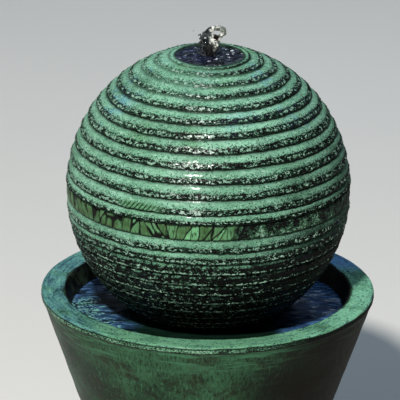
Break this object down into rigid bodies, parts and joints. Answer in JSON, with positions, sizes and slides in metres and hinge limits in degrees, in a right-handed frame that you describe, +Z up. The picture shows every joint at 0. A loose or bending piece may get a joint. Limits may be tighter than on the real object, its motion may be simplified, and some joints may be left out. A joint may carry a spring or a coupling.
{
  "type": "garden ball fountain",
  "caption": "Ribbed glazed ball on a pump cover in a tapered glazed pot; a pump lifts water through the ball to a dish on top, and it runs down the ribs.",
  "frame": {"origin": "on the ground under the middle of the pot, the centre of the bounding box's bottom face", "axes": "+Z up along the ball's axis, front towards -Y, +X to the right of someone looking at the front"},
  "size_m": [0.45, 0.45, 0.634],
  "materials": {
    "ball_glaze": "satin",
    "band_glaze": "satin",
    "pot_glaze": "satin",
    "stoneware": "matte",
    "dish_plastic": "satin",
    "fitting_plastic": "satin",
    "nozzle_plastic": "gloss",
    "pipe_plastic": "satin",
    "pump_plastic": "matte",
    "impeller_plastic": "satin",
    "magnet_ferrite": "matte",
    "shaft_ceramic": "polished",
    "black_rubber": "matte",
    "steel": "satin"
  },
  "bodies": {
    "basin": {"pot": "pot_glaze", "foot_pads": "black_rubber", "motor_block": "pump_plastic", "cable_gland": "black_rubber", "rotor_shaft": "shaft_ceramic", "shaft_bushes": "black_rubber", "volute_cover": "pump_plastic", "volute_seal": "black_rubber", "volute_screws": "steel", "suction_cups": "black_rubber", "outlet_adapter": "fitting_plastic", "riser_coupling": "black_rubber", "hose_clamp": "steel", "clamp_screw": "steel"},
    "cover_stand": {"pump_cover": "stoneware", "seat_gasket": "black_rubber"},
    "ball": {"ball_upper_shell": "ball_glaze", "ball_lower_shell": "ball_glaze", "joint_band": "band_glaze", "top_dish": "dish_plastic", "dish_washer": "black_rubber", "dish_fitting": "fitting_plastic", "lock_nut": "fitting_plastic", "bubbler_nozzle": "nozzle_plastic", "riser_pipe": "pipe_plastic", "foot_grommet": "black_rubber"},
    "rotor": {"rotor_magnet": "magnet_ferrite", "impeller": "impeller_plastic"},
    "strainer": {"strainer_cover": "pump_plastic"},
    "dial": {"flow_dial": "pump_plastic"},
    "bung": {"cable_bung": "black_rubber"}
  },
  "joints": [
    {"name": "cover_lift", "type": "slide", "parent": "basin", "child": "cover_stand", "axis": [0, 0, 1], "range_m": [0, 0.25]},
    {"name": "ball_lift", "type": "slide", "parent": "cover_stand", "child": "ball", "axis": [0, 0, 1], "range_m": [0, 0.25]},
    {"name": "rotor_spin", "type": "hinge", "parent": "basin", "child": "rotor", "pos_m": [0, 0, 0.061], "axis": [0, -1, 0], "continuous": true},
    {"name": "strainer_pull", "type": "slide", "parent": "basin", "child": "strainer", "axis": [0, -1, 0], "range_m": [0, 0.026]},
    {"name": "dial_turn", "type": "hinge", "parent": "strainer", "child": "dial", "pos_m": [0, -0.04, 0.061], "axis": [0, -1, 0], "range_deg": [0, 45]},
    {"name": "bung_pull", "type": "slide", "parent": "basin", "child": "bung", "axis": [0, 1, 0], "range_m": [0, 0.04]}
  ]
}
